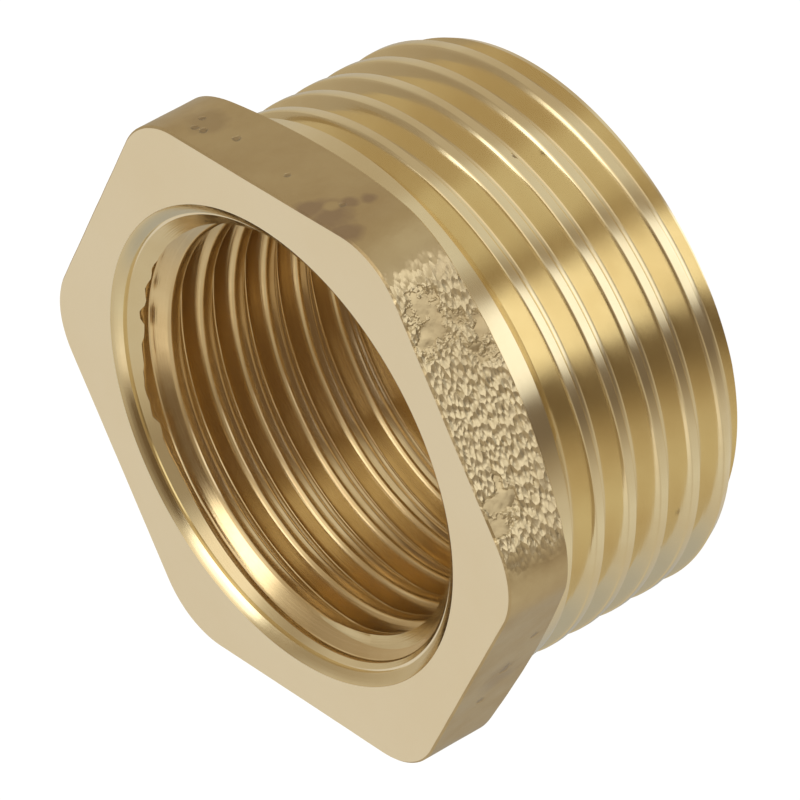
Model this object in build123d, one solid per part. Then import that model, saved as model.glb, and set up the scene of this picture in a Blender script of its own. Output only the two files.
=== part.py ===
from build123d import *
import math
import os

# Reducing hex bushing: 3/4 inch male pipe thread outside, 1/2 inch female pipe thread inside.
# It is one brass piece, with a forged hexagon head, a turned and threaded shank, and a bore
# tapped right through. Both threads are right-handed, parallel, and of the 55 degree form.
# It stands on the end of the shank. Z runs up the axis, and the open face of the head is on top.

# Driving dimensions, in millimetres and degrees

# Head
overall_length = 15.2
head_height = 3.9
sides = 6
across_flats = 27.0
head_corner_radius = 3.9
head_back_angle = 22.0

# Thread form, the same outside and inside: its crest and its depth are shares of the pitch
pitch = 1.814
form_angle = 55.0
crest_share = 1 / 6
depth_share = 0.640327

# Male thread: its full form, and how much the turned blank takes off its crests
male_form_diameter = 26.441
male_crest_cut = 0.12
male_start_angle = 177.0
lead_length = 1.3
lead_depth = 0.6

# Neck under the head, how far it stands past the crests, and the cone up to it on which the
# male thread runs out
neck_length = 1.1
neck_step = 0.05
runout_length = 0.91

# Female thread: the wall between the roots of the two threads, and how much the drilled bore
# takes off its crests
thread_wall = 1.581
female_crest_cut = 0.27
female_start_angle = 0.0

# Mouth of the bore in the head, sunk in two steps from the thread's root outwards, and its
# outlet in the shank
mouth_rim_step = 0.3
mouth_rim_depth = 0.32
mouth_step = 0.52
mouth_sink_angle = 45.0
outlet_step = 0.22
outlet_sink_angle = 45.0

# How far a solid that cuts or joins another runs past it, so that no two faces lie together,
# and the turns that a thread runs on past each end before it is cut to length
overrun = 0.3
spare_turns = 1.5

# Worked out from the driving dimensions
shank_length = overall_length - head_height
flat_radius = across_flats / 2
thread_depth = depth_share * pitch
male_form = male_form_diameter / 2
male_crest = male_form - male_crest_cut
male_root = male_form - thread_depth
neck_radius = male_crest + neck_step
female_root = male_root - thread_wall
female_crest = female_root - thread_depth + female_crest_cut
mouth_rim = female_root + mouth_rim_step
mouth_radius = mouth_rim + mouth_step
outlet_radius = female_root + outlet_step
thread_bottom = -spare_turns * pitch
cutter_bottom = 2 * thread_bottom
cutter_top = overall_length - cutter_bottom


def turned(points):
    """Solid of revolution about Z, from the corners of its half section as (radius, height)."""
    return revolve(make_face(Plane.XZ * Polyline(*points, close=True)), Axis.Z)


def threaded_rod(root, crest, form_crest, thread_top, rod_top, start_angle):
    """Rod at the root radius, with one helical ridge on it up to the crest radius."""

    def half_width(radius):
        flank = (form_crest - radius) * math.tan(math.radians(form_angle / 2))
        return crest_share * pitch / 2 + flank

    inner = root - overrun / 2
    section = Polyline(
        (inner, thread_bottom - half_width(inner)),
        (crest, thread_bottom - half_width(crest)),
        (crest, thread_bottom + half_width(crest)),
        (inner, thread_bottom + half_width(inner)),
        close=True,
    )
    height = thread_top - thread_bottom
    path = Helix(pitch=pitch, height=height, radius=root, center=(0, 0, thread_bottom))
    ridge = sweep(make_face(Plane.XZ * section), path=path, is_frenet=True)
    rod = turned([(0, cutter_bottom), (root, cutter_bottom), (root, rod_top), (0, rod_top)])
    return rod + Rot(0, 0, start_angle) * ridge


def make_shank():
    """Threaded shank with a lead at its end, and a neck under the head that the thread runs out on."""
    neck_bottom = shank_length - neck_length
    runout_slope = (male_crest - male_root) / runout_length
    cone_depth = male_crest - male_root + overrun
    thread = threaded_rod(
        male_root,
        male_crest,
        male_form,
        neck_bottom + neck_length / 2,
        shank_length,
        male_start_angle,
    )
    neck = turned(
        [
            (0, neck_bottom - cone_depth / runout_slope),
            (male_root - overrun, neck_bottom - cone_depth / runout_slope),
            (neck_radius, neck_bottom + (neck_radius - male_crest) / runout_slope),
            (neck_radius, shank_length),
            (0, shank_length),
        ]
    )
    lead_slope = lead_depth / lead_length
    outside_lead = turned(
        [
            (0, cutter_bottom - overrun),
            (male_crest + overrun, cutter_bottom - overrun),
            (male_crest + overrun, lead_length + overrun / lead_slope),
            (male_crest - lead_depth, 0),
            (0, 0),
        ]
    )
    return thread + neck - outside_lead


def make_head():
    """Forged hexagon with rounded corners, its back turned to a shallow cone."""
    plan = RegularPolygon(radius=flat_radius, side_count=sides, major_radius=False)
    plan = fillet(plan.vertices(), head_corner_radius)
    hexagon = Pos(0, 0, shank_length) * extrude(plan, head_height)
    reach = flat_radius / math.cos(math.pi / sides)
    rise = (reach - flat_radius) * math.tan(math.radians(head_back_angle))
    back = turned(
        [
            (0, shank_length),
            (flat_radius, shank_length),
            (reach, shank_length + rise),
            (reach, overall_length),
            (0, overall_length),
        ]
    )
    return hexagon & back


def make_tap():
    """What the tap takes away: the drilled bore and the female thread, past both ends."""
    thread_top = overall_length - thread_bottom
    return threaded_rod(
        female_crest,
        female_root,
        female_root,
        thread_top,
        cutter_top,
        female_start_angle,
    )


def make_mouth():
    """What the two-step sink at the mouth takes away."""
    rim_height = overall_length - mouth_rim_depth
    small = female_crest - overrun
    depth = (mouth_rim - small) / math.tan(math.radians(mouth_sink_angle))
    return turned(
        [
            (0, cutter_top + overrun),
            (mouth_radius, cutter_top + overrun),
            (mouth_radius, overall_length),
            (mouth_rim, rim_height),
            (small, rim_height - depth),
            (0, rim_height - depth),
        ]
    )


def make_outlet():
    """What the sink at the outlet takes away."""
    small = female_crest - overrun
    depth = (outlet_radius - small) / math.tan(math.radians(outlet_sink_angle))
    return turned(
        [
            (0, cutter_bottom - overrun),
            (outlet_radius, cutter_bottom - overrun),
            (outlet_radius, 0),
            (small, depth),
            (0, depth),
        ]
    )


body = make_shank() + make_head()
body = body - make_tap() - make_mouth() - make_outlet()

os.makedirs("parts", exist_ok=True)
export_step(body, "parts/hex_bushing.step")
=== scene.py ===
import math

import bmesh
import bpy
from mathutils import Matrix, Vector, noise


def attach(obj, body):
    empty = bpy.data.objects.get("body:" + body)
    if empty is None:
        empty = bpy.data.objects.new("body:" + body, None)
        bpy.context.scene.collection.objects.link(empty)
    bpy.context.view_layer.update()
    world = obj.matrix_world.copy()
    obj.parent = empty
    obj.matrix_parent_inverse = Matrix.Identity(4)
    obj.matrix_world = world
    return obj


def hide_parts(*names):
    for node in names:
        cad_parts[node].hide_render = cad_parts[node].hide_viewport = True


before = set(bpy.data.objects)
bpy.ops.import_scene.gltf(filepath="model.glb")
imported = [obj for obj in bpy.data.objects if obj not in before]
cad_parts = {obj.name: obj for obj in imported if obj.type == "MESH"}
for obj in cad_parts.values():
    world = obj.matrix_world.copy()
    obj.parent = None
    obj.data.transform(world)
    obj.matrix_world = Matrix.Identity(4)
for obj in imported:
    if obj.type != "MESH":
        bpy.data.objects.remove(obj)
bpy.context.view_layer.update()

# ---------------------------------------------------------------------------------------
# Threaded shank. A brass bar end turned to the size over the crests, then cut with a
# right-handed 55 degree pipe thread, 14 turns to the inch. A tool leaves the crests flat,
# with a small round at each corner and at each root. Millimetres, until all is cut.
# ---------------------------------------------------------------------------------------
overall_length = 15.2
head_height = 3.9
shank_length = overall_length - head_height
pitch = 1.814
half_crest = pitch / 12
flank_angle = 27.5
flank_slope = math.tan(math.radians(flank_angle))
depth_share = 0.640327
thread_depth = depth_share * pitch
male_form = 13.2205
male_crest_cut = 0.12
male_crest = male_form - male_crest_cut
male_root = male_form - thread_depth
male_start_angle = math.radians(177.0)
turns_below = 1.5
corner_round = 0.07
root_round = 0.16
shortest_flank = 0.5
steps_per_turn = 180
weld = 0.002
fine_weld = 0.0005


def half_ridge(form_crest, radius):
    """Half the width of a ridge at a radius."""
    return half_crest + (form_crest - radius) * flank_slope


def thread_surface(root, crest, form_crest, start_angle, turns):
    """Helical surface of a thread, one open band of so many turns, welded turn to turn."""
    surface = bmesh.new()
    low = -(turns_below + 0.5) * pitch
    middle = low + pitch / 2
    half_section = [
        (root, low),
        (root, middle - half_ridge(form_crest, root)),
        (crest, middle - half_ridge(form_crest, crest)),
        (crest, middle + half_ridge(form_crest, crest)),
        (root, middle + half_ridge(form_crest, root)),
        (root, low + pitch),
    ]
    profile = [surface.verts.new((radius, 0, z)) for radius, z in half_section]
    for pair in zip(profile, profile[1:]):
        surface.edges.new(pair)
    roots = [profile[1], profile[4]]
    crests = [profile[2], profile[3]]
    for corners, size in ((crests, corner_round), (roots, root_round)):
        bmesh.ops.bevel(
            surface,
            geom=corners,
            offset=size,
            segments=3,
            profile=0.5,
            affect="VERTICES",
            material=-1,
        )
    flanks = [e for e in surface.edges if e.calc_length() > shortest_flank]
    bmesh.ops.subdivide_edges(surface, edges=flanks, cuts=3)
    bmesh.ops.rotate(
        surface,
        verts=surface.verts,
        cent=(0, 0, 0),
        matrix=Matrix.Rotation(start_angle, 3, "Z"),
    )
    bmesh.ops.spin(
        surface,
        geom=surface.verts[:] + surface.edges[:],
        cent=(0, 0, 0),
        axis=(0, 0, 1),
        dvec=(0, 0, pitch / steps_per_turn),
        angle=math.tau,
        steps=steps_per_turn,
        use_merge=False,
    )
    one_turn = surface.verts[:] + surface.edges[:] + surface.faces[:]
    for turn in range(1, turns):
        copy = bmesh.ops.duplicate(surface, geom=one_turn)["geom"]
        bmesh.ops.translate(
            surface,
            verts=[v for v in copy if isinstance(v, bmesh.types.BMVert)],
            vec=(0, 0, turn * pitch),
        )
    bmesh.ops.remove_doubles(surface, verts=surface.verts, dist=weld)
    return surface


def cut_to_length(solid, low, high):
    """Cuts a thread's band square at two heights and closes both ends with a flat face."""
    for height, normal in ((low, (0, 0, -1)), (high, (0, 0, 1))):
        cut = bmesh.ops.bisect_plane(
            solid,
            geom=solid.verts[:] + solid.edges[:] + solid.faces[:],
            dist=fine_weld,
            plane_co=(0, 0, height),
            plane_no=normal,
            clear_outer=True,
        )
        rim = [e for e in cut["geom_cut"] if isinstance(e, bmesh.types.BMEdge)]
        bmesh.ops.contextual_create(solid, geom=rim)
    bmesh.ops.recalc_face_normals(solid, faces=solid.faces)


def turned(half_section):
    """A closed shape from the lathe, from the corners of its half section."""
    shape = bmesh.new()
    corners = [shape.verts.new((radius, 0, z)) for radius, z in half_section]
    for pair in zip(corners, corners[1:]):
        shape.edges.new(pair)
    bmesh.ops.spin(
        shape,
        geom=shape.verts[:] + shape.edges[:],
        cent=(0, 0, 0),
        axis=(0, 0, 1),
        angle=math.tau,
        steps=steps_per_turn,
        use_merge=True,
    )
    bmesh.ops.remove_doubles(shape, verts=shape.verts, dist=fine_weld)
    bmesh.ops.recalc_face_normals(shape, faces=shape.faces)
    return shape


def as_object(name, shape):
    """A Blender object of this mesh, linked to the scene."""
    mesh = bpy.data.meshes.new(name)
    shape.to_mesh(mesh)
    shape.free()
    made = bpy.data.objects.new(name, mesh)
    bpy.context.scene.collection.objects.link(made)
    return made


spare_below = 0.8
into_head = 0.4
shank_thread = thread_surface(male_root, male_crest, male_form, male_start_angle, turns=9)
cut_to_length(shank_thread, -spare_below, shank_length - into_head)
bushing = as_object("bushing", shank_thread)

# The lead at the end of the shank is a shallow cone that the thread starts on. This ring
# and disc are what the lathe takes away there.
lead_length = 1.3
lead_depth = 0.6
lead_slope = lead_depth / lead_length
past_crest = 0.3
outside = 14.5
clear_below = -1.5
lead_top = lead_length + past_crest / lead_slope
lead_chip = turned(
    [
        (outside, clear_below),
        (0.0, clear_below),
        (0.0, 0.0),
        (male_crest - lead_depth, 0.0),
        (male_crest + past_crest, lead_top),
        (outside, lead_top),
        (outside, clear_below),
    ]
)
lead_chip = as_object("lead_chip", lead_chip)

# ---------------------------------------------------------------------------------------
# Head and neck. The hexagon is hot forged, so its sides keep the skin of the die: one is
# coarse, the others are smooth with shallow pits. The face, the back and the neck under
# it are turned afterwards. Its corners are rounded, and its back falls away as a cone.
# ---------------------------------------------------------------------------------------
flat_radius = 13.5
corner_radius = 3.9
corner_steps = 16
flat_steps = 90
wall_rows = 32
back_angle = 22.0
back_slope = math.tan(math.radians(back_angle))
neck_over_crest = 0.05
neck_radius = male_crest + neck_over_crest
neck_length = 1.1
neck_bottom = shank_length - neck_length
edge_break = 0.09
shortest_upright = 1.0

head = bmesh.new()
corner_centre = Vector(((flat_radius - corner_radius) / math.cos(math.pi / 6), 0, 0))
first = head.verts.new(corner_centre + Vector((corner_radius, 0, 0)))
bmesh.ops.rotate(
    head, verts=[first], cent=corner_centre, matrix=Matrix.Rotation(-math.pi / 6, 3, "Z")
)
bmesh.ops.spin(
    head,
    geom=[first],
    cent=corner_centre,
    axis=(0, 0, 1),
    angle=math.pi / 3,
    steps=corner_steps,
    use_merge=False,
)
corner = head.verts[:] + head.edges[:]
for side in range(1, 6):
    copy = bmesh.ops.duplicate(head, geom=corner)["geom"]
    bmesh.ops.rotate(
        head,
        verts=[v for v in copy if isinstance(v, bmesh.types.BMVert)],
        cent=(0, 0, 0),
        matrix=Matrix.Rotation(side * math.pi / 3, 3, "Z"),
    )
ends = [v for v in head.verts if len(v.link_edges) == 1]
ends.sort(key=lambda v: math.atan2(v.co.y, v.co.x) % math.tau)
flats = [head.edges.new(pair) for pair in zip(ends[0::2], ends[1::2])]
bmesh.ops.subdivide_edges(head, edges=flats, cuts=flat_steps - 1)
outline = head.edges[:]


def stepped(shape, ring, place):
    """Extrudes a ring of edges, puts each new vertex where place() says, returns the new ring."""
    made = bmesh.ops.extrude_edge_only(shape, edges=ring)["geom"]
    for vert in made:
        if isinstance(vert, bmesh.types.BMVert):
            vert.co = place(vert.co)
    return [e for e in made if isinstance(e, bmesh.types.BMEdge)]


def at_radius(radius, height):
    """Moves a point straight in or out to a radius, and to a height."""

    def place(point):
        across = Vector((point.x, point.y, 0)).normalized() * radius
        return Vector((across.x, across.y, height))

    return place


def drawn_in(gap, height):
    """Moves a point of the outline inwards by about a gap, and to a height."""

    def place(point):
        across = Vector((point.x, point.y, 0))
        inwards = across * (1 - gap / across.length)
        return Vector((inwards.x, inwards.y, height))

    return place


def on_back_cone(point):
    """The foot of the side wall, where the turned back cone cuts the hexagon."""
    rise = (math.hypot(point.x, point.y) - flat_radius) * back_slope
    return Vector((point.x, point.y, shank_length + edge_break + rise))


for vert in head.verts:
    vert.co.z = overall_length - edge_break
foot = stepped(head, outline, on_back_cone)
rises = {e: abs(e.verts[0].co.z - e.verts[1].co.z) for e in head.edges}
uprights = [e for e, rise in rises.items() if rise > shortest_upright]
bmesh.ops.subdivide_edges(head, edges=uprights, cuts=wall_rows - 1)

# The skin of the forging: a seeded relief, cut inwards only, so that the flats keep their
# size. Coarse grains on one side, longer round the head than along it, with a few worn
# places, each as (bearing, height, size). Depths and sizes in millimetres.
coarse_side = math.radians(-90.0)
coarse_reach = 28.0
coarse_wander = 3.0
wander_size = 0.7
coarse_fade = math.radians(4.0)
coarse_depth = 0.085
grain_size = 0.26
grain_stretch = 0.5
grain_seed = 3.1
grain_gain = 1.2
smooth_depth = 0.02
smooth_size = 1.4
below_face, face_fade = 0.35, 0.5
above_back, back_fade = 0.1, 0.3
worn_core, worn_fade = 0.4, 0.5
ragged_depth, ragged_size = 0.6, 0.5
worn_places = [
    (-69.5, 14.1, 1.0),
    (-74.0, 13.8, 1.1),
    (-105.5, 14.2, 0.9),
    (-109.0, 14.6, 0.8),
    (-78.0, 12.1, 0.9),
]


def held(value):
    """A value held between 0 and 1."""
    return max(0.0, min(1.0, value))


def grain(point):
    """Rounded grains from 0 to 1."""
    cells = noise.voronoi(Vector(point) / grain_size + Vector((grain_seed,) * 3))[0]
    return min(1.0, cells[0] * grain_gain)


for vert in head.verts:
    x, y, z = vert.co
    off_side = abs((math.atan2(y, x) - coarse_side + math.pi) % math.tau - math.pi)
    wander = coarse_wander * noise.noise(Vector((x, y, z)) / wander_size)
    edge = math.radians(coarse_reach + wander)
    coarse = held((edge - off_side) / coarse_fade)
    coarse *= held((overall_length - below_face - z) / face_fade)
    coarse *= held((z - shank_length - above_back) / back_fade)
    ragged = ragged_depth * noise.noise(vert.co / ragged_size)
    for bearing, height, size in worn_places:
        along = flat_radius * math.tan(math.radians(bearing) - coarse_side)
        place = Vector((along, -flat_radius, height))
        coarse *= held(((place - vert.co).length / size + ragged - worn_core) / worn_fade)
    relief = coarse_depth * coarse * grain((x * grain_stretch, y * grain_stretch, z))
    relief += smooth_depth * (0.5 + 0.5 * noise.noise(Vector((x, y, z)) / smooth_size))
    across = Vector((x, y, 0))
    inwards = across * (1 - relief / across.length)
    vert.co = (inwards.x, inwards.y, z)

# The flat face and the turned back, neck and run-out, ring by ring from the outline.
face_margin = 1.2
back_margin = 0.12
cove = 0.06
neck_edge_break = 0.04
runout_length = 1.04
below_root = 0.12
face_edge = stepped(head, outline, drawn_in(edge_break, overall_length))
face_ring = stepped(head, face_edge, drawn_in(face_margin, overall_length))
back_edge = stepped(head, foot, lambda p: drawn_in(edge_break, p.z - edge_break)(p))
back_rim = stepped(head, back_edge, at_radius(flat_radius - back_margin, shank_length))
neck_top = stepped(head, back_rim, at_radius(neck_radius + cove, shank_length))
neck_cove = stepped(head, neck_top, at_radius(neck_radius, shank_length - cove))
neck_foot = stepped(head, neck_cove, at_radius(neck_radius, neck_bottom + neck_edge_break))
neck_rim = stepped(head, neck_foot, at_radius(neck_radius - neck_edge_break, neck_bottom))
runout_end = neck_bottom - runout_length
runout = stepped(head, neck_rim, at_radius(male_root - below_root, runout_end))
bmesh.ops.contextual_create(head, geom=face_ring)
bmesh.ops.contextual_create(head, geom=runout)
bmesh.ops.remove_doubles(head, verts=head.verts, dist=fine_weld)
bmesh.ops.recalc_face_normals(head, faces=head.faces)
head = as_object("head", head)

# ---------------------------------------------------------------------------------------
# Bore. It is drilled, sunk at both ends, and tapped right through with the smaller pipe
# thread. The first turn at the mouth is torn where the tap caught the sink.
# ---------------------------------------------------------------------------------------
wall = 1.581
female_crest_cut = 0.27
female_root = male_root - wall
female_crest = female_root - thread_depth + female_crest_cut
sink_over_root = 0.3
mouth_rim = female_root + sink_over_root
outer_sink_width = 0.52
mouth_radius = mouth_rim + outer_sink_width
mouth_depth = 0.32
mouth_floor = overall_length - mouth_depth
outlet_over_root = 0.22
outlet_radius = female_root + outlet_over_root
spare_end = 1.0

# The tear lies between two bearings in degrees and two heights, and fades out at both. It
# pushes the groove along the bore by a steady lift and by jumps of two lengths, in degrees.
torn_from, torn_to, torn_turn_fade = 12, 98, 15
torn_low, torn_high, torn_height_fade = 13.9, 15.0, 0.3
torn_lift, torn_jump, deepest_jump = 0.2, 0.5, -0.3
long_jump, short_jump, short_share = 5.3, 1.7, 0.8
swell_length, swell_least, swell_most = 9.0, 0.5, 1.2

tap = thread_surface(female_crest, female_root, female_root, 0.0, turns=12)
for vert in tap.verts:
    z = vert.co.z
    angle = math.degrees(math.atan2(vert.co.y, vert.co.x))
    near = held((angle - torn_from) / torn_turn_fade) * held((torn_to - angle) / torn_turn_fade)
    near *= held((z - torn_low) / torn_height_fade) * held((torn_high - z) / torn_height_fade)
    tear = noise.noise(Vector((angle / long_jump, 0.4, 7.0)))
    tear += short_share * noise.noise(Vector((angle / short_jump, 3.3, 1.0)))
    swell = abs(noise.noise(Vector((angle / swell_length, 9.0, 2.0))))
    tear *= swell_least + swell_most * swell
    vert.co.z += near * (torn_lift + torn_jump * max(deepest_jump, tear))
cut_to_length(tap, -spare_end, overall_length + spare_end)
tap = as_object("tap", tap)

# The mouth: a shallow outer sink with a broken rim, a fine step, and a 45 degree sink.
clear_above = overall_length + 1.5
past_bore = 0.5
rim_break = 0.04
rim_spread = 0.05
step_fall = 0.1
sink_depth = mouth_rim - female_crest
mouth = turned(
    [
        (0.0, clear_above),
        (mouth_radius + rim_spread, clear_above),
        (mouth_radius + rim_spread, overall_length + rim_break),
        (mouth_radius, overall_length - rim_break),
        (mouth_rim + 0.03, mouth_floor + 0.02),
        (mouth_rim + rim_spread, mouth_floor - step_fall),
        (mouth_rim - step_fall, mouth_floor - step_fall),
        (female_crest - past_bore, mouth_floor - sink_depth - past_bore),
        (0.0, mouth_floor - sink_depth - past_bore),
    ]
)
mouth = as_object("mouth", mouth)
outlet_top = outlet_radius - female_crest + past_bore
outlet = turned(
    [
        (0.0, clear_below),
        (outlet_radius, clear_below),
        (outlet_radius, 0.0),
        (female_crest - past_bore, outlet_top),
        (0.0, outlet_top),
    ]
)
outlet = as_object("outlet", outlet)

cuts = [(lead_chip, "DIFFERENCE"), (head, "UNION")]
cuts += [(tap, "DIFFERENCE"), (mouth, "DIFFERENCE"), (outlet, "DIFFERENCE")]
for tool, operation in cuts:
    step = bushing.modifiers.new(tool.name, "BOOLEAN")
    step.operation = operation
    step.solver = "EXACT"
    step.object = tool
depsgraph = bpy.context.evaluated_depsgraph_get()
whole = bpy.data.meshes.new_from_object(bushing.evaluated_get(depsgraph))
bushing.modifiers.clear()
bushing.data = whole
for tool, _ in cuts:
    bpy.data.objects.remove(tool)

# One welded skin, without the slivers that the cuts leave, and now in metres.
sliver = 0.0015
metres = 0.001
skin = bmesh.new()
skin.from_mesh(bushing.data)
bmesh.ops.remove_doubles(skin, verts=skin.verts, dist=weld)
bmesh.ops.dissolve_degenerate(skin, edges=skin.edges, dist=sliver)
bmesh.ops.scale(skin, verts=skin.verts, vec=(metres, metres, metres))
skin.to_mesh(bushing.data)
skin.free()

# ---------------------------------------------------------------------------------------
# Brass finishes, one for each way that the metal was worked: faced, forged, turned, cut
# with a thread tool, and tapped. All are bare yellow brass, a little browned in clouds.
# ---------------------------------------------------------------------------------------
brass_colour = (0.88, 0.78, 0.54, 1)
browned_colour = (0.80, 0.66, 0.40, 1)
skin_colour = (0.65, 0.53, 0.32, 1)


def linked(tree, kind, inputs=(), **settings):
    """A node of a kind, with its settings, and its inputs linked or given a value."""
    node = tree.nodes.new(kind)
    for name, value in settings.items():
        setattr(node, name, value)
    for socket, value in enumerate(inputs):
        if isinstance(value, bpy.types.NodeSocket):
            tree.links.new(value, node.inputs[socket])
        elif value is not None:
            node.inputs[socket].default_value = value
    return node


def arithmetic(tree, operation, *inputs):
    """One Math node."""
    return linked(tree, "ShaderNodeMath", inputs, operation=operation).outputs[0]


def between(tree, value, low, high, to_low=0.0, to_high=1.0):
    """A value brought from one range to another, and held at its ends."""
    return linked(tree, "ShaderNodeMapRange", [value, low, high, to_low, to_high]).outputs[0]


def blended(tree, share, one, other):
    """Two colours mixed by a share."""
    mix = tree.nodes.new("ShaderNodeMix")
    mix.data_type = "RGBA"
    for socket, value in ((0, share), (6, one), (7, other)):
        if isinstance(value, bpy.types.NodeSocket):
            tree.links.new(value, mix.inputs[socket])
        else:
            mix.inputs[socket].default_value = value
    return mix.outputs[2]


def object_place(tree):
    """Where a point is on the object."""
    return linked(tree, "ShaderNodeTexCoord").outputs["Object"]


def noise_of(tree, where, scale, detail):
    """Cloudy noise from 0 to 1, with a number of cells to the metre."""
    clouds = linked(tree, "ShaderNodeTexNoise", [where])
    clouds.inputs["Scale"].default_value = scale
    clouds.inputs["Detail"].default_value = detail
    return clouds.outputs[0]


def new_group(name, inputs, outputs):
    """An empty shader node group with named sockets, and its inner input and output nodes."""
    group = bpy.data.node_groups.new(name, "ShaderNodeTree")
    for label, kind, value in inputs:
        socket = group.interface.new_socket(label, in_out="INPUT", socket_type=kind)
        socket.default_value = value
    for label, kind in outputs:
        group.interface.new_socket(label, in_out="OUTPUT", socket_type=kind)
    return group, group.nodes.new("NodeGroupInput"), group.nodes.new("NodeGroupOutput")


# Tool lines: fine rings round the axis, spaced along the axis or across a face.
tool_lines, given, result = new_group(
    "tool_lines",
    [
        ("Spacing", "NodeSocketFloat", 0.0001),
        ("Along", "NodeSocketFloat", 1.0),
        ("Across", "NodeSocketFloat", 0.0),
    ],
    [("Height", "NodeSocketFloat")],
)
parts = linked(tool_lines, "ShaderNodeSeparateXYZ", [object_place(tool_lines)]).outputs
radius = arithmetic(tool_lines, "MULTIPLY", parts[0], parts[0])
radius = arithmetic(tool_lines, "MULTIPLY_ADD", parts[1], parts[1], radius)
radius = arithmetic(tool_lines, "SQRT", radius)
travel = arithmetic(tool_lines, "MULTIPLY", parts[2], given.outputs["Along"])
travel = arithmetic(tool_lines, "MULTIPLY_ADD", radius, given.outputs["Across"], travel)
lines = arithmetic(tool_lines, "DIVIDE", travel, given.outputs["Spacing"])
fine = linked(tool_lines, "ShaderNodeTexNoise", noise_dimensions="1D")
tool_lines.links.new(lines, fine.inputs["W"])
fine.inputs["Scale"].default_value = 1.0
fine.inputs["Detail"].default_value = 3.0
tool_lines.links.new(fine.outputs[0], result.inputs["Height"])

# Tarnish: soft clouds where the metal has browned, from 0 to 1.
tarnish, given, result = new_group(
    "tarnish",
    [("Size", "NodeSocketFloat", 400.0), ("Amount", "NodeSocketFloat", 0.5)],
    [("Mask", "NodeSocketFloat")],
)
clouds = linked(tarnish, "ShaderNodeTexNoise", [object_place(tarnish)])
tarnish.links.new(given.outputs["Size"], clouds.inputs["Scale"])
clouds.inputs["Detail"].default_value = 5.0
clouds.inputs["Roughness"].default_value = 0.6
spread = between(tarnish, clouds.outputs[0], 0.40, 0.70)
spread = arithmetic(tarnish, "MULTIPLY", spread, given.outputs["Amount"])
tarnish.links.new(spread, result.inputs["Mask"])

# Spot: a patch round one place, 1 at its middle, with a ragged edge that fades to 0.
spot, given, result = new_group(
    "spot",
    [
        ("Place", "NodeSocketVector", (0.0, 0.0, 0.0)),
        ("Size", "NodeSocketFloat", 0.001),
        ("Ragged", "NodeSocketFloat", 0.0),
    ],
    [("Mask", "NodeSocketFloat")],
)
away = [object_place(spot), given.outputs["Place"]]
away = linked(spot, "ShaderNodeVectorMath", away, operation="DISTANCE").outputs["Value"]
away = arithmetic(spot, "DIVIDE", away, given.outputs["Size"])
away = arithmetic(spot, "ADD", away, given.outputs["Ragged"])
spot.links.new(between(spot, away, 0.45, 1.0, 1.0, 0.0), result.inputs["Mask"])


def placed(tree, group, output, **values):
    """One use of a node group, with its own values."""
    node = tree.nodes.new("ShaderNodeGroup")
    node.node_tree = group
    for label, value in values.items():
        if isinstance(value, bpy.types.NodeSocket):
            tree.links.new(value, node.inputs[label])
        else:
            node.inputs[label].default_value = value
    return node.outputs[output]


def spots(tree, cells, ragged, places):
    """One mask of many spots, each given as (bearing, radius, height, size) in millimetres."""
    edge = noise_of(tree, object_place(tree), cells, 3.0)
    edge = between(tree, edge, 0.3, 0.7, -ragged, ragged)
    mask = None
    for bearing, radius, height, size in places:
        turn = math.radians(bearing)
        place = (radius * math.cos(turn) / 1000, radius * math.sin(turn) / 1000, height / 1000)
        one = placed(tree, spot, "Mask", Place=place, Size=size / 1000, Ragged=edge)
        mask = one if mask is None else arithmetic(tree, "MAXIMUM", mask, one)
    return mask


def on_flats(places):
    """Places given as (bearing, height, size), with the hexagon's reach at that bearing."""
    reached = []
    for bearing, height, size in places:
        middle = round((bearing - 30.0) / 60.0) * 60.0 + 30.0
        reach = flat_radius / math.cos(math.radians(bearing - middle))
        reached.append((bearing, reach, height, size))
    return reached


def finish(name, size, amount, colour, browned, smooth, rough):
    """A brass that browns and roughens in clouds. Returns material, tree, shader and colour."""
    material = bpy.data.materials.new(name)
    material.use_nodes = True
    tree = material.node_tree
    shader = tree.nodes["Principled BSDF"]
    shader.inputs["Metallic"].default_value = 1.0
    mask = placed(tree, tarnish, "Mask", Size=size, Amount=1.0)
    tree.links.new(between(tree, mask, 0.0, 1.0, smooth, rough), shader.inputs["Roughness"])
    share = arithmetic(tree, "MULTIPLY", mask, amount)
    return material, tree, shader, blended(tree, share, colour, browned)


def raised(tree, shader, *heights):
    """Bump on a shader from heights with their depths in millimetres, one after another."""
    normal = None
    for height, depth in heights:
        bump = linked(tree, "ShaderNodeBump")
        bump.inputs["Strength"].default_value = 1.0
        bump.inputs["Distance"].default_value = depth / 1000
        tree.links.new(height, bump.inputs["Height"])
        if normal is not None:
            tree.links.new(normal, bump.inputs["Normal"])
        normal = bump.outputs[0]
    tree.links.new(normal, shader.inputs["Normal"])


def rings(tree, spacing, along, across):
    """Heights of the tool lines, at a spacing in millimetres."""
    shares = {"Along": along, "Across": across}
    return placed(tree, tool_lines, "Height", Spacing=spacing / 1000, **shares)


# Front face: faced in the lathe, a little matt.
face_browned = (0.85, 0.73, 0.48, 1)
faced, tree, shader, colour = finish(
    "faced_brass",
    size=160.0,
    amount=0.3,
    colour=brass_colour,
    browned=face_browned,
    smooth=0.28,
    rough=0.36,
)
tree.links.new(colour, shader.inputs["Base Color"])
raised(
    tree,
    shader,
    (rings(tree, spacing=0.18, along=0.0, across=1.0), 0.0015),
    (noise_of(tree, object_place(tree), scale=9000.0, detail=2.0), 0.004),
)

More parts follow.
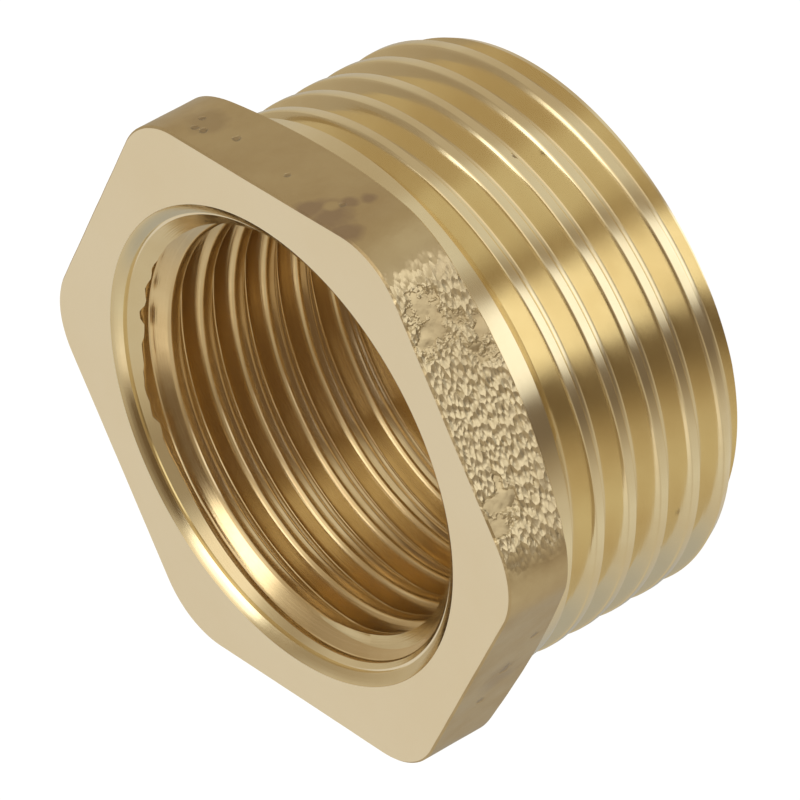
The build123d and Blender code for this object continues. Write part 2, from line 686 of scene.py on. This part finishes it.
# Sides and back of the head: the skin of the forging, darker, with one coarse flat that
# is paler where it isn't worn, and with a smear, clouds and pits on the others.
skin_browned = (0.55, 0.42, 0.24, 1)
coarse_colour = (0.84, 0.72, 0.48, 1)
smear_colour = (0.44, 0.33, 0.225, 1)
cloud_colour = (0.45, 0.345, 0.22, 1)
pit_colour = (0.32, 0.235, 0.15, 1)
coarse_share, cloud_share, pit_share = 0.7, 0.5, 0.5
forged, tree, shader, colour = finish(
    "forged_brass",
    size=330.0,
    amount=0.6,
    colour=skin_colour,
    browned=skin_browned,
    smooth=0.34,
    rough=0.46,
)
where = object_place(tree)

# The coarse flat is the one that faces -Y. Its colour fades out, in metres, towards the
# round of the flat's ends and, with a ragged edge, towards its corners.
flat_start, flat_full = -0.0130, -0.0133
side_end, side_full = 0.0072, 0.0058
worn = spots(tree, cells=1300.0, ragged=0.9, places=on_flats(worn_places))
parts = linked(tree, "ShaderNodeSeparateXYZ", [where]).outputs
on_coarse = between(tree, parts[1], flat_start, flat_full)
fading = noise_of(tree, where, scale=900.0, detail=2.0)
fading = arithmetic(tree, "MULTIPLY_ADD", fading, 0.002, -0.001)
fading = arithmetic(tree, "ADD", arithmetic(tree, "ABSOLUTE", parts[0]), fading)
on_side = between(tree, fading, side_end, side_full)
on_coarse = arithmetic(tree, "MULTIPLY", on_coarse, on_side)
on_coarse = arithmetic(tree, "MULTIPLY", on_coarse, arithmetic(tree, "SUBTRACT", 1.0, worn))
paler = arithmetic(tree, "MULTIPLY", on_coarse, coarse_share)
colour = blended(tree, paler, colour, coarse_colour)

# Smear, clouds and pits, each spot as (bearing, radius, height, size), and for the pits
# without the radius.
smear = [
    (-47.3, 14.14, 14.5, 1.25), (-52.0, 14.6, 14.9, 0.9), (-43.0, 13.9, 14.8, 0.8),
    (-46.3, 14.05, 13.3, 0.5), (-47.5, 14.15, 12.6, 0.45),
]
smear = spots(tree, cells=700.0, ragged=0.3, places=smear)
bare = spots(tree, cells=700.0, ragged=0.1, places=[(-44.9, 13.97, 14.05, 0.42)])
smear = arithmetic(tree, "SUBTRACT", smear, bare)
smear = between(tree, smear, 0.0, 1.0, to_high=0.9)
colour = blended(tree, smear, colour, smear_colour)
clouds = [(-9.2, 14.44, 13.6, 1.1), (-152.0, 14.2, 13.0, 1.4), (84.0, 13.6, 13.2, 1.2)]
clouds = spots(tree, cells=700.0, ragged=0.3, places=clouds)
clouds = arithmetic(tree, "MULTIPLY", clouds, cloud_share)
colour = blended(tree, clouds, colour, cloud_colour)
pits = [
    (-9.0, 14.2, 0.2), (-7.9, 13.5, 0.18), (-10.7, 14.06, 0.22), (-16.5, 13.5, 0.2),
    (-31.9, 13.8, 0.16), (-46.0, 13.7, 0.2), (-150.0, 13.0, 0.4), (-141.0, 12.2, 0.25),
    (-160.0, 13.6, 0.3), (28.0, 13.4, 0.3), (88.0, 12.6, 0.3), (96.0, 13.9, 0.35),
    (152.0, 13.1, 0.3),
]
pits = spots(tree, cells=3000.0, ragged=0.4, places=on_flats(pits))
colour = blended(tree, arithmetic(tree, "MULTIPLY", pits, pit_share), colour, pit_colour)
tree.links.new(colour, shader.inputs["Base Color"])
grains = linked(tree, "ShaderNodeVectorMath", [where, (0.5, 0.5, 1.1)], operation="MULTIPLY")
grains = linked(tree, "ShaderNodeTexVoronoi", [grains.outputs[0]])
grains.inputs["Scale"].default_value = 4300.0
raised(
    tree,
    shader,
    (noise_of(tree, where, scale=1500.0, detail=4.0), 0.03),
    (arithmetic(tree, "MULTIPLY", grains.outputs["Distance"], on_coarse), 0.13),
    (arithmetic(tree, "MULTIPLY", pits, -1.0), 0.05),
)

# Neck, lead and sinks: turned bright, with fine rings.
turned_brass, tree, shader, colour = finish(
    "turned_brass",
    size=260.0,
    amount=0.4,
    colour=brass_colour,
    browned=browned_colour,
    smooth=0.14,
    rough=0.22,
)
tree.links.new(colour, shader.inputs["Base Color"])
raised(tree, shader, (rings(tree, spacing=0.12, along=1.0, across=0.8), 0.005))

# Male thread: cut bright, with lines along the flanks and a few nicks on its crests.
nick_colour = (0.24, 0.17, 0.09, 1)
nick_share = 0.7
cut_brass, tree, shader, colour = finish(
    "cut_thread_brass",
    size=240.0,
    amount=0.45,
    colour=brass_colour,
    browned=browned_colour,
    smooth=0.13,
    rough=0.22,
)
nicks = [
    (-51.0, 4.75, 0.3), (-77.0, 8.1, 0.28), (-79.0, 8.05, 0.25), (-141.0, 4.2, 0.35),
    (-134.0, 4.0, 0.22), (35.0, 6.2, 0.4), (118.0, 3.1, 0.3), (160.0, 7.4, 0.3),
]
nicks = [(bearing, male_crest, height, size) for bearing, height, size in nicks]
nicks = spots(tree, cells=3000.0, ragged=0.5, places=nicks)
colour = blended(tree, arithmetic(tree, "MULTIPLY", nicks, nick_share), colour, nick_colour)
tree.links.new(colour, shader.inputs["Base Color"])
raised(
    tree,
    shader,
    (rings(tree, spacing=0.16, along=0.5, across=1.0), 0.004),
    (arithmetic(tree, "MULTIPLY", nicks, -1.0), 0.05),
)

# Female thread: tapped, a little rougher and browner than the outside.
tapped_colour = (0.82, 0.67, 0.42, 1)
tapped_browned = (0.72, 0.55, 0.30, 1)
tapped_brass, tree, shader, colour = finish(
    "tapped_brass",
    size=300.0,
    amount=0.6,
    colour=tapped_colour,
    browned=tapped_browned,
    smooth=0.17,
    rough=0.26,
)
tree.links.new(colour, shader.inputs["Base Color"])
raised(tree, shader, (rings(tree, spacing=0.14, along=0.6, across=1.0), 0.006))

finishes = [faced, forged, turned_brass, cut_brass, tapped_brass]
bushing.data.materials.clear()
for material in finishes:
    bushing.data.materials.append(material)

# The sinks are the faces inside the mouth's rim that lie at about 45 degrees near either
# end, by how much their normal looks along the axis.
least_sink_tilt, most_sink_tilt = 0.65, 0.76
mouth_sink_reach, outlet_sink_reach = 1.4, 1.2
least_face_tilt = 0.9
tapped_above = 0.3
hair = 0.01


def finish_of(face):
    """The finish of a face, from where it is and which way it looks."""
    radius = math.hypot(face.center.x, face.center.y) * 1000
    height = face.center.z * 1000
    near_end = height > mouth_floor - mouth_sink_reach or height < outlet_sink_reach
    on_sink = least_sink_tilt < abs(face.normal.z) < most_sink_tilt
    if height > overall_length - 2 * hair and face.normal.z > least_face_tilt:
        return faced
    if near_end and radius < mouth_radius and on_sink:
        return turned_brass
    if radius < female_root + 0.05 and mouth_floor > height > tapped_above:
        return tapped_brass
    if radius < mouth_radius + 0.1 or height < hair:
        return turned_brass
    if radius > neck_radius + hair and height > shank_length - hair:
        return forged
    if height > neck_bottom - 0.06:
        return turned_brass
    return cut_brass


sharp_angle = 34.0
for face in bushing.data.polygons:
    face.material_index = finishes.index(finish_of(face))
    face.use_smooth = True
bushing.data.set_sharp_from_angle(angle=math.radians(sharp_angle))

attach(bushing, "root")
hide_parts("hex_bushing")

# ---------------------------------------------------------------------------------------
# Studio. A pale floor and a white background, a long lens, and a big soft tent round it all.
# The tent's cloth is lit in bands, which are what shows in the polished metal.
# ---------------------------------------------------------------------------------------
camera_place = (0.06363, -0.31530, 0.19747)
camera_right = Vector((-0.38084, -0.53092, -0.75703))
camera_up = Vector((0.90841, -0.06210, -0.41345))
camera_back = camera_right.cross(camera_up)
lens = bpy.data.cameras.new("long_lens")
lens.lens = 390.07
lens.sensor_width = 36.0
lens.clip_start = 0.01
lens.clip_end = 10.0
camera = bpy.data.objects.new("camera", lens)
turn = Matrix((camera_right, camera_up, camera_back)).transposed()
camera.matrix_world = Matrix.Translation(camera_place) @ turn.to_4x4()
bpy.context.scene.collection.objects.link(camera)
bpy.context.scene.camera = camera


def seen_directly(tree):
    """1 for the eye, and for what metal and glass show; 0 for light on dull surfaces."""
    path = linked(tree, "ShaderNodeLightPath").outputs
    seen = arithmetic(tree, "MAXIMUM", path["Is Camera Ray"], path["Is Glossy Ray"])
    return arithmetic(tree, "MAXIMUM", seen, path["Is Transmission Ray"])


soft_white = (0.8, 0.8, 0.78, 1)
full_white = (1, 1, 1, 1)
world = bpy.data.worlds.new("studio")
bpy.context.scene.world = world
world.use_nodes = True
sky = world.node_tree
sky.nodes.clear()
soft = linked(sky, "ShaderNodeBackground", [soft_white, 1.0])
white = linked(sky, "ShaderNodeBackground", [full_white, 1.0])
either = [seen_directly(sky), soft.outputs[0], white.outputs[0]]
both = linked(sky, "ShaderNodeMixShader", either)
linked(sky, "ShaderNodeOutputWorld", [both.outputs[0]])
bpy.context.scene.view_settings.view_transform = "Standard"

# The floor glows white to the eye, with a share left dull to keep the bushing's shadow.
# The metal sees the tent's lower half in its place.
floor_reach = 3.0
floor_colour = (0.9, 0.9, 0.9, 1)
floor_glow = 1.12
glow_share = 0.88
floor_mesh = bmesh.new()
bmesh.ops.create_grid(floor_mesh, x_segments=1, y_segments=1, size=floor_reach)
floor = as_object("floor", floor_mesh)
floor.visible_glossy = False
floor_paint = bpy.data.materials.new("pale_floor")
floor_paint.use_nodes = True
paint = floor_paint.node_tree
paint.nodes.clear()
dull = linked(paint, "ShaderNodeBsdfDiffuse", [floor_colour])
glow = linked(paint, "ShaderNodeEmission", [full_white, floor_glow])
share = arithmetic(paint, "MULTIPLY", seen_directly(paint), glow_share)
both = linked(paint, "ShaderNodeMixShader", [share, dull.outputs[0], glow.outputs[0]])
linked(paint, "ShaderNodeOutputMaterial", [both.outputs[0]])
floor.data.materials.append(floor_paint)


def banded(tree, value, stops):
    """A colour ramp with stops at bearings from -180 to 180 degrees."""
    ramp = linked(tree, "ShaderNodeValToRGB", [value])
    marks = ramp.color_ramp.elements
    while len(marks) < len(stops):
        marks.new(0.5)
    for mark, (bearing, colour) in zip(marks, stops):
        mark.position = 0.5 + bearing / 360
        mark.color = (*colour, 1)
    return ramp.outputs[0]


def glowing(name, shape):
    """A card or cloth that glows for metal and dull surfaces, not for the eye, and its tree."""
    made = as_object(name, shape)
    made.visible_camera = False
    made.visible_shadow = False
    material = bpy.data.materials.new(name)
    material.use_nodes = True
    material.node_tree.nodes.clear()
    made.data.materials.append(material)
    return made, material.node_tree


# The tent. Its bands run up and down, at bearings in degrees from the lens: the bearing
# of the metal that shows them there. The bands are laid out anew for metal that stands
# upright, for metal that slopes and for metal that looks up, and the top is plain. One
# layout fades into the next between two tilts of the metal, in radians.
tent_radius = 2.0
to_sloping = 0.35, 0.6
to_overhead = 0.85, 1.0
to_top = 1.15, 1.35
ball = bmesh.new()
bmesh.ops.create_icosphere(ball, subdivisions=4, radius=tent_radius)
_, cloth = glowing("tent", ball)
lamp = (2.4, 2.3, 2.0)
cream = (1.3, 1.27, 1.2)
straw = (1.0, 0.88, 0.7)
pale = (0.7, 0.65, 0.54)
tan = (0.6, 0.53, 0.42)
sand = (0.52, 0.44, 0.32)
grey = (0.45, 0.44, 0.42)
dusk = (0.35, 0.28, 0.19)
shade = (0.19, 0.145, 0.1)
brown = (0.13, 0.08, 0.035)
plain_top = (0.74, 0.69, 0.65, 1)
out = linked(cloth, "ShaderNodeVectorMath", [object_place(cloth)], operation="NORMALIZE")
halfway = linked(cloth, "ShaderNodeVectorMath", [out.outputs[0], camera_back]).outputs[0]
forward = Vector((camera_back.x, camera_back.y, 0)).normalized()


def part_along(axis):
    """How far the halfway direction goes along an axis."""
    dot = linked(cloth, "ShaderNodeVectorMath", [halfway, axis], operation="DOT_PRODUCT")
    return dot.outputs["Value"]


ahead = part_along(forward)
aside = part_along(Vector((-forward.y, forward.x, 0)))
above = part_along((0, 0, 1))
bearing = arithmetic(cloth, "ARCTAN2", aside, ahead)
bearing = arithmetic(cloth, "MULTIPLY_ADD", bearing, 1 / math.tau, 0.5)
level = arithmetic(cloth, "MULTIPLY", aside, aside)
level = arithmetic(cloth, "SQRT", arithmetic(cloth, "MULTIPLY_ADD", ahead, ahead, level))
rise = arithmetic(cloth, "ARCTAN2", above, level)
overhead = banded(
    cloth,
    bearing,
    [
        (-180, grey), (-76, grey), (-62, tan), (-50, pale), (-35, straw), (-29, dusk),
        (-25, brown), (4, brown), (7, sand), (10, lamp), (31, lamp), (35, dusk), (50, dusk),
        (90, sand), (180, grey),
    ],
)
sloping = banded(
    cloth,
    bearing,
    [
        (-180, sand), (-88, tan), (-36, tan), (-27, sand), (-17, dusk), (0, dusk), (6, tan),
        (10, straw), (28, straw), (33, sand), (43, dusk), (60, tan), (90, sand), (180, sand),
    ],
)
around = banded(
    cloth,
    bearing,
    [
        (-180, grey), (-77, grey), (-60, tan), (-47, pale), (-35, tan), (-28, dusk),
        (-23, shade), (-15, shade), (-11.5, cream), (3.5, cream), (5.5, dusk), (9, dusk),
        (14, pale), (29, pale), (32, sand), (46, sand), (60, tan), (100, grey), (180, grey),
    ],
)
light = blended(cloth, between(cloth, rise, *to_sloping), around, sloping)
light = blended(cloth, between(cloth, rise, *to_overhead), light, overhead)
light = blended(cloth, between(cloth, rise, *to_top), light, plain_top)
shine = linked(cloth, "ShaderNodeEmission", [light, 1.0])
linked(cloth, "ShaderNodeOutputMaterial", [shine.outputs[0]])

# Painted shadow: the floor under the bore lies in the bushing's shadow, and these two cards
# glow dimly in its place, for the metal only: dark, paler at the far left, and open at the
# near side, where light from the tent comes in. Each card has some inner corners in
# millimetres, an arc of bearings under the bore's wall, a height and a colour.
card_radius = 0.0107
bore_shadow_card = [(-1.2, 5.8)], range(33, 300, 19), 0.00002, (0.15, 0.095, 0.05)
paler_shadow_card = [(-8.0, 0.8), (-1.4, 6.3)], range(100, 180, 13), 0.00004, (0.42, 0.31, 0.18)
cards = {"under_bore": bore_shadow_card, "under_left": paler_shadow_card}
for name, (inner, arc, height, tint) in cards.items():
    under = bmesh.new()
    for x, y in inner:
        under.verts.new((x / 1000, y / 1000, height))
    for bearing in map(math.radians, arc):
        x, y = card_radius * math.cos(bearing), card_radius * math.sin(bearing)
        under.verts.new((x, y, height))
    under.faces.new(under.verts)
    card, cloth = glowing(name, under)
    card.visible_diffuse = False
    # The card's glow is its painted shadow colour.
    shine = linked(cloth, "ShaderNodeEmission", [(*tint, 1), 1.0])
    linked(cloth, "ShaderNodeOutputMaterial", [shine.outputs[0]])
